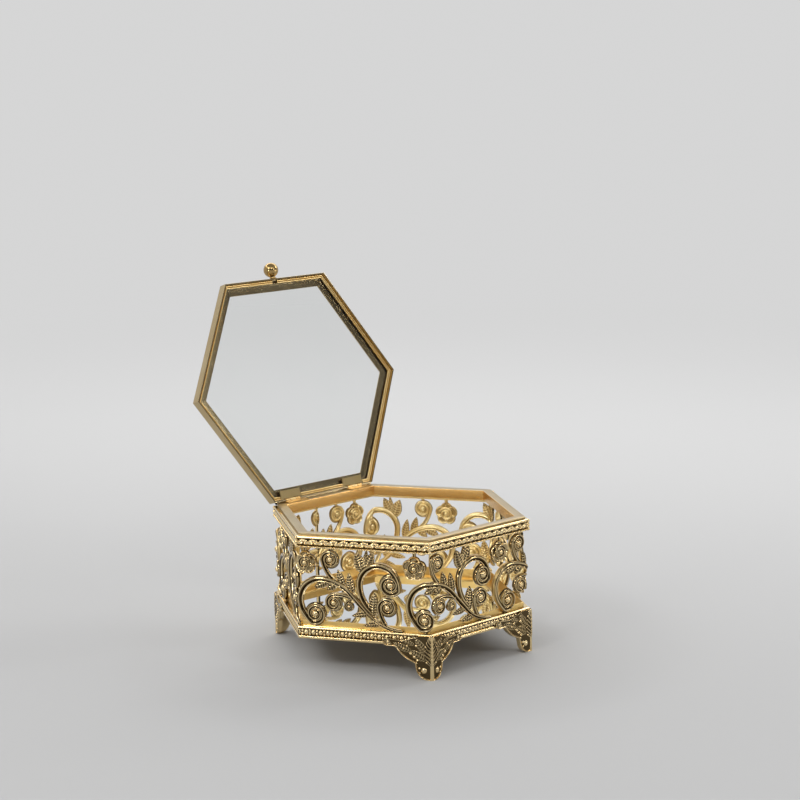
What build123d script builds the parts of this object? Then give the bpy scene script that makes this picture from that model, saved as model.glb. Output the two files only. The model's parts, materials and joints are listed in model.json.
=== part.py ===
from build123d import *
import os
from math import cos, floor, ceil, radians, sin, sqrt

# Six-sided openwork trinket box with a hinged glass lid, modelled with the lid open.
# All lengths are millimetres, all angles are degrees, +Z is up and the knob side faces -Y.

# Body
across_corners = 130.0          # outer faces of the walls, corner to corner
foot_height = 15.8
bottom_rail_height = 5.8
openwork_height = 37.9
top_rail_height = 5.5
rail_thickness = 2.6
rail_band_sink = 0.5            # the patterned band lies this far behind the rail's beads
top_bead_radius = 0.65
lower_bead_radius = 0.4
base_bead_radius = 0.55
base_edge_height = 1.2          # plain strip along the bottom of the lower rail
panel_thickness = 1.2
panel_sink = 1.2                # from the outer face of the walls to the panel
panel_seat = 1.0                # height of panel held behind each rail
seat_clearance = 0.1

# Rim strips, L-shaped, lying on the top rail
rim_strip_start = 1.7           # from the outer face of the walls
rim_strip_width = 4.5
rim_strip_thickness = 1.0
rim_leg_height = 4.8
rim_leg_thickness = 0.8

# Floor
base_plate_lift = 0.4           # above the lower edge of the bottom rail
base_plate_thickness = 0.8
mirror_thickness = 2.0
mirror_clearance = 0.2
base_strip_width = 5.0
base_strip_thickness = 0.6
base_leg_height = 5.0

# Corner trim
corner_bead_radius = 0.75
corner_beads_per_rail = 3
corner_bead_sink = 0.35         # centres of the beads behind the corner edge of the walls
corner_bead_stem_radius = 0.45
corner_bead_stem_gap = 0.3      # top of the stem below the top of the rail

# Feet: corner castings with a long wing on the left and a short one on the right
wing_reach = 23.5
short_wing_reach = 18.5
wing_thickness = 0.9
foot_ledge = 1.7                # foot metal under the rail
foot_ridge_radius = 1.1
foot_ridge_offset = 0.3         # centre of the ridge outside the corner edge of the walls
sole_width = 1.6

# Outline of the long wing; reaches are measured from the corner, rises from the rail's lower edge
lobe_bulge_reach = 5.6
lobe_bulge_height = 1.55
lobe_reach = 7.4
lobe_height = 5.2
cusp_reach = 8.0
cusp_height = 8.0
arch_middle_reach = 13.2
arch_middle_height = 10.6
arch_reach = 17.4
arch_drop = 0.4
tip_inset = 2.0
tip_middle_rise = 1.4
tip_rise = 3.4
shoulder_reach = 14.5
shoulder_rise = 2.6
crest_reach = 6.0
crest_rise = 5.0

# Lid
lid_inset = 0.5                 # lid's outer face behind the walls' outer face
lid_wall_height = 4.6
lid_wall_thickness = 0.7
lid_flange_width = 6.2
lid_flange_thickness = 0.6
glass_thickness = 2.0
glass_clearance = 0.1           # from the head of the knob's rivet to the edge of the glass
glass_bead_width = 1.2
glass_bead_height = 0.8
lid_rest_gap = 0.2              # closed lid above the top rail
lid_open_angle = 107.8

# Knob on the front of the lid
knob_diameter = 7.6
knob_neck_diameter = 3.0
knob_neck_length = 1.0
knob_rivet_diameter = 1.5
knob_rivet_head_diameter = 2.8
knob_rivet_head_thickness = 0.5
rivet_clearance = 0.05

# Hinges
hinge_spacing = 41.0
hinge_leaf_width = 12.6
hinge_leaf_depth = 4.0
hinge_leaf_thickness = 0.5
hinge_setback = 0.3             # hinge axis in front of the back wall's outer face
hinge_axis_lift = 0.1           # hinge axis above the rim strips
knuckle_radius = 1.0
knuckle_length = 3.0
knuckle_side_gap = 0.1
pin_radius = 0.45
pin_running_clearance = 0.1
pin_seat_clearance = 0.02
pin_overhang = 0.2
barrel_clearance = 0.35
notch_clearance = 0.3           # above the knuckles, in the back strip of the lid
heel_length = 2.1
heel_thickness = 0.55
heel_gap = 0.15                 # stop heel behind the top rail when the lid is open

# Levels and widths that follow
apothem = across_corners / 2 * sqrt(3) / 2
side = across_corners / 2
rail_bottom = foot_height
openwork_bottom = rail_bottom + bottom_rail_height
openwork_top = openwork_bottom + openwork_height
rail_top = openwork_top + top_rail_height
rim_top = rail_top + rim_strip_thickness
base_plate_bottom = rail_bottom + base_plate_lift
mirror_bottom = base_plate_bottom + base_plate_thickness
mirror_top = mirror_bottom + mirror_thickness
hinge_y = apothem - hinge_setback
hinge_z = rim_top + hinge_axis_lift
lid_bottom = rail_top + lid_rest_gap
lid_top = lid_bottom + lid_wall_height
lid_apothem = apothem - lid_inset
lid_inner_apothem = lid_apothem - lid_wall_thickness
glass_apothem = lid_inner_apothem - knob_rivet_head_thickness - glass_clearance
glass_bottom = lid_top - lid_flange_thickness - glass_thickness
knob_height = (lid_bottom + lid_top) / 2
barrel_length = 3 * knuckle_length + 2 * knuckle_side_gap
leaf_edge = hinge_y - knuckle_radius - barrel_clearance
leaf_front = leaf_edge - hinge_leaf_depth

# Direction in which each wall faces, in the order in which the openwork band runs round the box
first_wall_angle = 150
WALL_NAMES = ["back_left", "front_left", "front", "front_right", "back_right", "back"]
WALLS = {name: first_wall_angle + 60 * number for number, name in enumerate(WALL_NAMES)}
FOOT_CORNERS = {
    "back_left": ("back", "back_left"),
    "front_left": ("front_left", "front"),
    "front_right": ("front", "front_right"),
    "back_right": ("back_right", "back"),
}
reach = across_corners          # longer than any wall, for shapes that are trimmed afterwards
cut_margin = 1.0                # cuts run this far past the metal


def outward(facing):
    return Vector(cos(radians(facing)), sin(radians(facing)), 0)


def along(facing):
    return Vector(-sin(radians(facing)), cos(radians(facing)), 0)


def face_plane(facing):
    """Outer face of a wall: X runs to the right seen from outside, Y is up, Z points outward."""
    return Plane(outward(facing) * apothem, x_dir=along(facing), z_dir=outward(facing))


def section_plane(facing, wall_apothem=apothem):
    """Cross-section of a wall: X is the depth behind its outer face and Y is the height."""
    return Plane(outward(facing) * wall_apothem, x_dir=outward(facing) * -1, z_dir=along(facing))


def wedge(facing):
    """The sixth of the box behind one wall, between the two corner planes."""
    tip = outward(facing) * reach
    half = along(facing) * (reach / sqrt(3))
    outline = Polyline(Vector(), tip - half, tip + half, close=True)
    return extrude(make_face(outline), 2 * reach)


def block(x0, x1, y0, y1):
    """Rectangle between two depths and two heights."""
    return Pos((x0 + x1) / 2, (y0 + y1) / 2) * Rectangle(x1 - x0, y1 - y0)


def mitred_strip(profile, facing, wall_apothem=apothem):
    """A straight strip with the given cross-section, cut to the corner planes."""
    strip = extrude(section_plane(facing, wall_apothem) * profile, reach / 2, both=True)
    return strip & wedge(facing)


def hexagon(flat_distance, bottom, thickness):
    face = RegularPolygon(flat_distance, 6, major_radius=False)
    return Pos(0, 0, bottom) * extrude(face, thickness)


# Openwork band, drawn at its real size on a band of this height and scaled with the band
drawn_height = 37.9
drawn_period = 53.15
drawn_start = -1.2              # where the drawing starts on the front left wall
band_seam = -26.0               # where the band starts, before the back left corner
fold_take = 1.1                 # length of band lost in each corner fold
scale = openwork_height / drawn_height
panel_side = (apothem - panel_sink - panel_thickness / 2) * 2 / sqrt(3)
wall_step = panel_side + fold_take
seam_edge_width = 0.6           # plain upright edge along each end of the band
fold_touch = 0.001              # pieces this near to each other meet at a fold
rose_heart_radius = 4.4
rose_petal_radius = 2.2
rose_petal_offset = 3.6
rose_petals = 5

# Scroll stems: starting point, heading, then steps of radius, turn (left is positive) and width.
# A radius of 0 makes the turn value a straight length.
STEMS = [
    (7.2, 3.3, 156.4, [(10.35, -156.4, 3.0), (20, -47, 2.8), (0, 12.6, 2.6), (23, 47, 2.4)]),
    (49.0, 19.8, 80, [(9.4, 190, 3.0), (16, 43, 3.0), (0, 3, 2.6)]),
    (13.1, 32.6, -90, [(12.4, 55, 2.2)]),
    (17.6, 15.3, 20, [(10, -55, 1.9)]),
    (23.8, 11.2, 80, [(3.6, -95, 1.5)]),
    (39.9, 11.3, -90, [(14, 40, 1.9)]),
]
# Spiral bosses: middle and radius
BOSSES = [
    (8.6, 6.4, 5.2),
    (45.4, 22.0, 4.95),
    (16.4, 32.6, 4.2),
    (17.7, 12.0, 4.0),
    (25.2, 10.7, 2.1),
    (43.9, 11.3, 4.6),
]
# Leaves: base, tip and width
LEAVES = [
    (22.3, 18.5, 20.0, 28.0, 3.4),
    (26.8, 16.3, 25.0, 26.6, 3.4),
    (31.5, 27.5, 29.3, 35.2, 2.4),
    (31.8, 27.8, 31.6, 38.2, 2.4),
    (32.5, 28.5, 35.2, 36.6, 2.4),
    (33.5, 29.5, 38.3, 37.2, 2.6),
    (15.6, 22.8, 8.3, 18.7, 2.8),
    (18.9, 21.9, 14.6, 17.6, 3.0),
    (35.2, 7.8, 26.3, 6.2, 2.6),
    (41.2, 3.6, 31.8, 1.9, 2.6),
    (36.3, 5.2, 37.6, 17.9, 4.8),
]
ROSES = [(57.1, 30.6)]
# Short links to the rails: place, lower and upper end, width
LINKS = [
    (57.1, 34.5, 38.2, 1.8),
    (16.4, 36.2, 38.2, 1.6),
    (8.6, -0.2, 2.0, 1.8),
]


def arc_band(centre, radius, start, sweep, width):
    """Part of a flat ring."""
    outer = CenterArc(centre, radius + width / 2, start, sweep)
    inner = CenterArc(centre, radius - width / 2, start, sweep)
    edges = [outer, Line(outer @ 1, inner @ 1), inner, Line(inner @ 0, outer @ 0)]
    return make_face(Wire(edges))


def stem(x, y, heading, steps):
    """A scroll's stem, with a round end."""
    faces = []
    for radius, turn, width in steps:
        direction = Vector(cos(radians(heading)), sin(radians(heading)))
        left = Vector(-direction.Y, direction.X)
        if radius == 0:
            middle = Vector(x, y) + direction * (turn / 2)
            faces.append(Pos(middle.X, middle.Y) * Rot(0, 0, heading) * Rectangle(turn, width))
            x, y = x + direction.X * turn, y + direction.Y * turn
            continue
        hand = 1 if turn > 0 else -1
        centre = Vector(x, y) + left * (hand * radius)
        start = heading - 90 * hand
        faces.append(arc_band((centre.X, centre.Y), radius, start, turn, width))
        heading += turn
        end = Vector(cos(radians(start + turn)), sin(radians(start + turn)))
        x, y = centre.X + end.X * radius, centre.Y + end.Y * radius
    faces.append(Pos(x, y) * Circle(steps[-1][2] / 2))
    return faces


def leaf(x0, y0, x1, y1, width):
    """A pointed leaf from its base to its tip."""
    base, tip = Vector(x0, y0), Vector(x1, y1)
    middle = (base + tip) * 0.5
    across = Vector(-(tip - base).Y, (tip - base).X).normalized() * (width / 2)
    edges = [ThreePointArc(base, middle + across, tip), ThreePointArc(tip, middle - across, base)]
    return make_face(Wire(edges))


def boss(x, y, radius):
    return Pos(x, y) * Circle(radius)


def rose(x, y):
    turns = [90 + 360 * i / rose_petals for i in range(rose_petals)]
    petal = Pos(rose_petal_offset, 0) * Circle(rose_petal_radius)
    return [boss(x, y, rose_heart_radius)] + [Pos(x, y) * Rot(0, 0, turn) * petal for turn in turns]


def ornament():
    """One repeat of the scrolling band, from its lower edge up."""
    faces = []
    for x, y, heading, steps in STEMS:
        faces += stem(x, y, heading, steps)
    for x, y in ROSES:
        faces += rose(x, y)
    faces += [boss(*place) for place in BOSSES]
    faces += [leaf(*place) for place in LEAVES]
    faces += [block(x - width / 2, x + width / 2, low, high) for x, low, high, width in LINKS]
    return Sketch() + faces


def band_stretch(repeat, start, end, left):
    """The openwork between two distances along the band, moved so that it starts at left."""
    low = -panel_seat
    high = openwork_height + panel_seat
    period = drawn_period * scale
    drawing_start = wall_step + drawn_start
    first = floor((start - drawing_start) / period) - 1
    last = ceil((end - drawing_start) / period)
    window = block(start, end, low, high)
    borders = [block(start, end, low, 0), block(start, end, openwork_height, high)]
    copies = [Pos(drawing_start + n * period, 0) * repeat for n in range(first, last + 1)]
    drawing = (Sketch() + copies + borders) & window
    return Pos(left - start, 0) * drawing


def openwork_panels():
    """Six flat panels, bent from one band whose ends meet on the back wall."""
    repeat = ornament()
    repeat = repeat.scale(scale) if scale != 1 else repeat
    band_length = 6 * wall_step
    seam = band_seam + band_length
    mitre = (side - panel_side) / 2
    panels = {}
    for number, (name, facing) in enumerate(WALLS.items()):
        start = number * wall_step - mitre
        end = start + side
        if start < seam < end:
            first_part = band_stretch(repeat, start, seam, 0)
            second_part = band_stretch(repeat, band_seam, end - band_length, seam - start)
            middle = seam - start
            edges = block(middle - seam_edge_width, middle + seam_edge_width, -panel_seat, openwork_height)
            face = first_part + second_part + edges
        else:
            face = band_stretch(repeat, start, end, 0)
        outline = Pos(-side / 2, openwork_bottom) * face
        depth = panel_sink + panel_thickness
        placed = face_plane(facing) * Pos(0, 0, -depth) * outline
        panels[name] = extrude(placed, panel_thickness) & wedge(facing)
    return joined_at_folds(panels)


def joined_at_folds(panels):
    """One solid for each panel: what a corner cuts off one panel stays with the next, as a tab."""
    panels = {name: panel.solids().sort_by(SortBy.VOLUME) for name, panel in panels.items()}
    whole = {name: solids.pop() for name, solids in panels.items()}
    loose = [(name, bit) for name, solids in panels.items() for bit in solids]
    joined = True
    while loose and joined:
        joined = False
        for home, bit in list(loose):
            for name in whole:
                union = whole[name] + bit if whole[name].distance_to(bit) < fold_touch else None
                if union and len(union.solids()) == 1:
                    whole[name] = union.solid()
                    loose.remove((home, bit))
                    joined = True
                    break
    for home, bit in loose:
        whole[home] += bit
    return {f"openwork_{name}": solid for name, solid in whole.items()}


def top_rail_profile():
    body = block(rail_band_sink, rail_thickness, openwork_top, rail_top)
    bead = Pos(top_bead_radius, rail_top - top_bead_radius) * Circle(top_bead_radius)
    lower = Pos(rail_band_sink, openwork_top + lower_bead_radius) * Circle(lower_bead_radius)
    seat_top = openwork_top + panel_seat + seat_clearance
    seat = block(panel_sink, rail_thickness + cut_margin, openwork_top - cut_margin, seat_top)
    return body + bead + lower - seat


def bottom_rail_profile():
    body = block(rail_band_sink, rail_thickness, rail_bottom, openwork_bottom)
    bead = Pos(base_bead_radius, openwork_bottom - base_bead_radius) * Circle(base_bead_radius)
    edge = block(0, rail_thickness, rail_bottom, rail_bottom + base_edge_height)
    seat_floor = openwork_bottom - panel_seat - seat_clearance
    seat = block(panel_sink, rail_thickness + cut_margin, seat_floor, openwork_bottom + cut_margin)
    return body + bead + edge - seat


def rim_strip_profile():
    inner = rim_strip_start + rim_strip_width
    flat = block(rim_strip_start, inner, rail_top, rim_top)
    leg = block(inner - rim_leg_thickness, inner, rim_top - rim_leg_height, rim_top)
    return flat + leg


def base_strip_profile():
    """An angle strip that holds the mirror down and stands up behind the openwork."""
    start = rail_thickness
    flat = block(start, start + base_strip_width, mirror_top, mirror_top + base_strip_thickness)
    leg = block(start, start + base_strip_thickness, mirror_top, mirror_top + base_leg_height)
    return flat + leg


def lid_strip_profile():
    wall = block(0, lid_wall_thickness, lid_bottom, lid_top)
    flange = block(0, lid_flange_width, lid_top - lid_flange_thickness, lid_top)
    return wall + flange


def corner_beads():
    """Upright rows of small balls that cover the mitres of the top rail."""
    pitch = (top_rail_height - 2 * corner_bead_radius) / (corner_beads_per_rail - 1)
    stand = across_corners / 2 - corner_bead_sink
    height = top_rail_height - corner_bead_stem_gap
    solids = []
    for facing in WALLS.values():
        corner = outward(facing - 30) * stand
        low = openwork_top + corner_bead_radius
        row = Pos(corner.X, corner.Y, openwork_top) * extrude(Circle(corner_bead_stem_radius), height)
        for i in range(corner_beads_per_rail):
            row += Pos(corner.X, corner.Y, low + i * pitch) * Sphere(corner_bead_radius)
        solids.append(row)
    return solids


def wing_outline(length):
    """One wing of a foot: X is the distance from the corner and Y is the height."""
    share = length / wing_reach
    lobe_bulge = (lobe_bulge_reach * share, lobe_bulge_height)
    lobe = (lobe_reach * share, lobe_height)
    cusp = (cusp_reach * share, cusp_height)
    arch_middle = (arch_middle_reach * share, arch_middle_height)
    arch_end = (arch_reach * share, foot_height - arch_drop)
    tip_low = (length - tip_inset * share, foot_height - arch_drop)
    tip_middle = (length, foot_height + tip_middle_rise)
    tip_high = (length - tip_inset * share, foot_height + tip_rise)
    shoulder = (shoulder_reach * share, foot_height + shoulder_rise)
    crest = (crest_reach * share, foot_height + crest_rise)
    top = (0, foot_height + crest_rise)
    edges = [
        Line((0, 0), (sole_width, 0)),
        ThreePointArc((sole_width, 0), lobe_bulge, lobe),
        Line(lobe, cusp),
        ThreePointArc(cusp, arch_middle, arch_end),
        Line(arch_end, tip_low),
        ThreePointArc(tip_low, tip_middle, tip_high),
        *Polyline(tip_high, shoulder, crest, top, (0, 0)).edges(),
    ]
    return make_face(Wire(edges))


def foot(left_wall, right_wall):
    """Two wings that meet at the corner, a ledge under the rail and a ridge on the corner."""
    halves = []
    for wall, hand, length in ((left_wall, -1, wing_reach), (right_wall, 1, short_wing_reach)):
        outline = wing_outline(length)
        if hand < 0:
            outline = mirror(outline, about=Plane.YZ)
        outline = Pos(-hand * side / 2, 0) * outline
        low = outline & block(-reach, reach, 0, foot_height)
        plane = face_plane(WALLS[wall])
        skin = extrude(plane * outline, wing_thickness)
        ledge = extrude(plane * low, -foot_ledge)
        halves.append((skin + ledge) & wedge(WALLS[wall]))
    corner = outward(WALLS[left_wall] + 30) * (across_corners / 2 + foot_ridge_offset)
    ridge = Pos(corner.X, corner.Y, 0) * extrude(Circle(foot_ridge_radius), foot_height + crest_rise)
    ridge -= hexagon(apothem, foot_height, reach)
    return halves[0] + halves[1] + ridge


def box_along_x(x0, x1, y0, y1, z0, z1):
    return Pos((x0 + x1) / 2, (y0 + y1) / 2, (z0 + z1) / 2) * Box(x1 - x0, y1 - y0, z1 - z0)


def rod_along_x(x0, x1, radius):
    """A rod round the hinge axis."""
    rod = Rot(0, 90, 0) * Cylinder(radius, x1 - x0)
    return Pos((x0 + x1) / 2, hinge_y, hinge_z) * rod


def knuckle_spans(x):
    """The left, middle and right knuckle of a hinge centred at x."""
    step = knuckle_length + knuckle_side_gap
    return [(x + i * step - knuckle_length / 2, x + i * step + knuckle_length / 2) for i in (-1, 0, 1)]


def box_leaf(x):
    """The leaf on the rim strip, with the two outer knuckles."""
    top = rim_top + hinge_leaf_thickness
    half = hinge_leaf_width / 2
    shape = box_along_x(x - half, x + half, leaf_front, leaf_edge, rim_top, top)
    left, _, right = knuckle_spans(x)
    for x0, x1 in (left, right):
        shape += box_along_x(x0, x1, leaf_edge, hinge_y, rim_top, top)
        shape += rod_along_x(x0, x1, knuckle_radius)
    return shape - rod_along_x(x - half, x + half, pin_radius + pin_seat_clearance)


def hinge_pin(x):
    half = barrel_length / 2 + pin_overhang
    return rod_along_x(x - half, x + half, pin_radius)


def lid_leaf(x):
    """The lid's leaf with the middle knuckle, lid shut."""
    top = hinge_z + knuckle_radius
    bottom = top - hinge_leaf_thickness
    half = hinge_leaf_width / 2
    clear = barrel_length / 2 + barrel_clearance
    shape = box_along_x(x - half, x + half, leaf_front, leaf_edge, bottom, top)
    _, (x0, x1), _ = knuckle_spans(x)
    shape += box_along_x(x0, x1, leaf_edge, hinge_y, bottom, top)
    shape += rod_along_x(x0, x1, knuckle_radius)
    for x0, x1 in ((x - half, x - clear), (x + clear, x + half)):
        shape += box_along_x(x0, x1, leaf_edge, lid_inner_apothem, bottom, top)
    return shape - rod_along_x(x - half, x + half, pin_radius + pin_running_clearance)


def stop_heel(x):
    """The tab on the middle knuckle that meets the back of the top rail, lid open."""
    _, (x0, x1), _ = knuckle_spans(x)
    inner = apothem + heel_gap
    tab = box_along_x(x0, x1, inner, inner + heel_thickness, hinge_z - heel_length, hinge_z)
    return tab - rod_along_x(x0 - cut_margin, x1 + cut_margin, pin_radius + pin_running_clearance)


def lid_strips():
    strips = {}
    profile = lid_strip_profile()
    clear = barrel_length / 2 + barrel_clearance
    for name, facing in WALLS.items():
        strip = mitred_strip(profile, facing, lid_apothem)
        if name == "back":
            notch_top = hinge_z + knuckle_radius + notch_clearance
            for x in hinge_places:
                strip -= box_along_x(x - clear, x + clear, leaf_edge, apothem, 0, notch_top)
        if name == "front":
            strip -= rod_along_y(lid_inner_apothem, lid_apothem, knob_rivet_diameter + 2 * rivet_clearance)
        strips[f"lid_strip_{name}"] = strip
    return strips


def glass_bead():
    """The bead that holds the glass in the lid's angle strips, left out where the hinge leaves are."""
    corner = lid_wall_thickness
    square = block(corner, corner + glass_bead_width, glass_bottom - glass_bead_height, glass_bottom)
    solids = []
    for name, facing in WALLS.items():
        strip = mitred_strip(square, facing, lid_apothem)
        if name == "back":
            half = hinge_leaf_width / 2 + barrel_clearance
            for x in hinge_places:
                strip -= box_along_x(x - half, x + half, 0, apothem, 0, lid_top)
        if name == "front":
            gap = knob_rivet_head_diameter + 2 * rivet_clearance
            strip -= rod_along_y(0, lid_apothem, gap)
        solids += strip.solids()
    return solids


def rod_along_y(start, end, diameter):
    """A rod at the knob, between two distances in front of the middle of the box."""
    rod = Rot(90, 0, 0) * Cylinder(diameter / 2, end - start)
    return Pos(0, -(start + end) / 2, knob_height) * rod


knob_middle = lid_apothem + knob_neck_length + knob_diameter / 2
rivet_end = knob_middle - knob_diameter / 6


def knob():
    ball = Pos(0, -knob_middle, knob_height) * Sphere(knob_diameter / 2)
    neck = rod_along_y(lid_apothem, knob_middle, knob_neck_diameter)
    bore = rod_along_y(lid_apothem, rivet_end, knob_rivet_diameter + 2 * rivet_clearance)
    return neck + ball - bore


def knob_rivet():
    """Its shank runs through the lid's wall into the knob and its flat head is inside the wall."""
    head_face = lid_inner_apothem - knob_rivet_head_thickness
    head = rod_along_y(head_face, lid_inner_apothem, knob_rivet_head_diameter)
    return head + rod_along_y(lid_inner_apothem, rivet_end, knob_rivet_diameter)


hinge_places = {-hinge_spacing / 2: "left", hinge_spacing / 2: "right"}

# Pieces of the box
box = {}
for name, facing in WALLS.items():
    box[f"top_rail_{name}"] = mitred_strip(top_rail_profile(), facing)
    box[f"bottom_rail_{name}"] = mitred_strip(bottom_rail_profile(), facing)
    box[f"rim_strip_{name}"] = mitred_strip(rim_strip_profile(), facing)
    box[f"base_strip_{name}"] = mitred_strip(base_strip_profile(), facing)
box.update(openwork_panels())
box["base_plate"] = hexagon(apothem - rail_thickness, base_plate_bottom, base_plate_thickness)
box["mirror_plate"] = hexagon(apothem - rail_thickness - mirror_clearance, mirror_bottom, mirror_thickness)
for name, (left_wall, right_wall) in FOOT_CORNERS.items():
    box[f"foot_{name}"] = foot(left_wall, right_wall)
for x, hand in hinge_places.items():
    box[f"hinge_leaf_box_{hand}"] = box_leaf(x)
    box[f"hinge_pin_{hand}"] = hinge_pin(x)
rails = Part() + [box[f"top_rail_{name}"] for name in WALLS]
box["corner_beads"] = Compound(children=[(row - rails).solid() for row in corner_beads()])

# Pieces of the lid, shut, then swung open about the hinge axis
lid = lid_strips()
lid["lid_glass"] = hexagon(glass_apothem, glass_bottom, glass_thickness)
lid["glass_bead"] = Compound(children=glass_bead())
lid["knob"] = knob()
lid["knob_rivet"] = knob_rivet()
for x, hand in hinge_places.items():
    lid[f"hinge_leaf_lid_{hand}"] = lid_leaf(x)
hinge_axis = Axis((0, hinge_y, hinge_z), (-1, 0, 0))
lid = {name: shape.rotate(hinge_axis, lid_open_angle) for name, shape in lid.items()}
for x, hand in hinge_places.items():
    lid[f"hinge_leaf_lid_{hand}"] += stop_heel(x)

# The origin is under the middle of the open box
pieces = {**box, **lid}
bounds = [shape.bounding_box() for shape in pieces.values()]
middle_y = (min(b.min.Y for b in bounds) + max(b.max.Y for b in bounds)) / 2
os.makedirs("parts", exist_ok=True)
for name, shape in pieces.items():
    export_step(Pos(0, -middle_y, 0) * shape, f"parts/{name}.step")

print("pieces", len(pieces))
print("centre of the box in Y", round(-middle_y, 4))
print("hinge axis at Y, Z", round(hinge_y - middle_y, 4), round(hinge_z, 4))
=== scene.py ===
import json
from math import ceil, cos, pi, radians, sin, sqrt, tan

import bmesh
import bpy
import numpy as np
from mathutils import Matrix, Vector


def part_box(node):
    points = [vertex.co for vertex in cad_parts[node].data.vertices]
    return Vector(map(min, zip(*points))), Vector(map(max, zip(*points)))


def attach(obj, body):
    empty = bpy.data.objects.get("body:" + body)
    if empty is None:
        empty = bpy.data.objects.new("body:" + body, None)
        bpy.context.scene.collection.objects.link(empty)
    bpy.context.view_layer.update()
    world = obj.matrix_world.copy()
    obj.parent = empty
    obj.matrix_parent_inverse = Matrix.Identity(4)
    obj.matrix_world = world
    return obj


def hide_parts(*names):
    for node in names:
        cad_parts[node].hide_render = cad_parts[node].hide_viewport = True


# Lengths in this script are millimetres and angles are degrees; Blender's own unit is the metre.
MM = 0.001

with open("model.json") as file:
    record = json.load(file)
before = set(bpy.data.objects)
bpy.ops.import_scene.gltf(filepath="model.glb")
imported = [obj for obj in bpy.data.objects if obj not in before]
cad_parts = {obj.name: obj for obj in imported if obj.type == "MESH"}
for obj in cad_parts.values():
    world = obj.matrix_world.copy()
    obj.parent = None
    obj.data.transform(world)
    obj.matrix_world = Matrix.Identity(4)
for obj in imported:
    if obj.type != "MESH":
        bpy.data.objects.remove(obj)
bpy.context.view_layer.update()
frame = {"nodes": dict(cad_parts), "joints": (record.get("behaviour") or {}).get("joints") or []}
nodes = frame["nodes"]


def node_box(name):
    low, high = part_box(name)
    return np.array(low) / MM, np.array(high) / MM


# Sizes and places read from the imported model
rail_low, rail_high = node_box("bottom_rail_front")
top_low, top_high = node_box("top_rail_front")
back_high = node_box("bottom_rail_back")[1]
rim_low, rim_high = node_box("rim_strip_front")
base_low, base_high = node_box("base_strip_front")
middle_y = (rail_low[1] + back_high[1]) / 2
apothem = (back_high[1] - rail_low[1]) / 2
rail_bottom, openwork_bottom = rail_low[2], rail_high[2]
openwork_top, rail_top = top_low[2], top_high[2]
openwork_height = openwork_top - openwork_bottom
rail_depth = top_high[1] - rail_low[1]
foot_top = node_box("foot_front_left")[1][2]
hinge = frame["joints"][0]
hinge_y, hinge_z = hinge["pos_m"][1] / MM, hinge["pos_m"][2] / MM

WALL_NAMES = ["back_left", "front_left", "front", "front_right", "back_right", "back"]
first_wall_angle = 150
WALLS = {name: first_wall_angle + 60 * number for number, name in enumerate(WALL_NAMES)}
half_turn = radians(30)  # half the turn between neighbouring walls


def outward(facing):
    return np.array([cos(radians(facing)), sin(radians(facing)), 0.0])


def along(facing):
    return np.array([-sin(radians(facing)), cos(radians(facing)), 0.0])


# Shapes: a shape is its points, its four-sided faces and, for each point, its painted shade (darkness
# painted in for shade and dark reflections)


def grid_faces(rows, columns, closed=False):
    """Faces between neighbouring rows of points; closed joins each row's last point to its first."""
    index = np.arange(rows * columns).reshape(rows, columns)
    if closed:
        index = np.hstack([index, index[:, :1]])
    corners = index[:-1, :-1], index[:-1, 1:], index[1:, 1:], index[1:, :-1]
    return np.column_stack([corner.ravel() for corner in corners])


def tube(rows, painted_shade):
    """A skin through rings of points, open at its two ends."""
    rows = np.asarray(rows, float)
    return rows.reshape(-1, 3), grid_faces(*rows.shape[:2], closed=True), np.ravel(painted_shade)


def sheet(front, back, painted_shade, closed=False, behind=0):
    """Two grids of points, front and back, joined along their edges. Behind is the share of the
    front's painted shade that the back has."""
    rows, columns = front.shape[:2]
    faces = grid_faces(rows, columns, closed)
    total = rows * columns
    index = np.arange(total).reshape(rows, columns)
    loops = [index[0], index[-1], index[:, 0], index[:, -1]]
    if closed:
        loops = [np.append(index[-1], index[-1, 0])]
    rims = [np.column_stack([loop[:-1], loop[1:], loop[1:] + total, loop[:-1] + total]) for loop in loops]
    points = np.concatenate([front.reshape(-1, 3), back.reshape(-1, 3)])
    painted_shade = np.ravel(painted_shade)
    return points, np.concatenate([faces, faces[:, ::-1] + total] + rims), np.append(painted_shade, painted_shade * behind)


def combined(shapes):
    """Several shapes as one."""
    points, faces, painted_shades = zip(*shapes)
    starts = np.cumsum([0] + [len(part) for part in points[:-1]])
    faces = [part + start for part, start in zip(faces, starts)]
    return np.concatenate(points), np.concatenate(faces), np.concatenate(painted_shades)


def moved(shape, function):
    """The same shape with its points passed through a function."""
    return function(shape[0]), shape[1], shape[2]


def add_object(name, data):
    added = bpy.data.objects.new(name, data)
    bpy.context.scene.collection.objects.link(added)
    return added


merge_distance = 0.002
shortest_edge = 0.001
inside_share = 0.15  # of a face's direction, at least, to count as turned inside
cast_crease, strip_crease, knob_crease = 60, 25, 50


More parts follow.
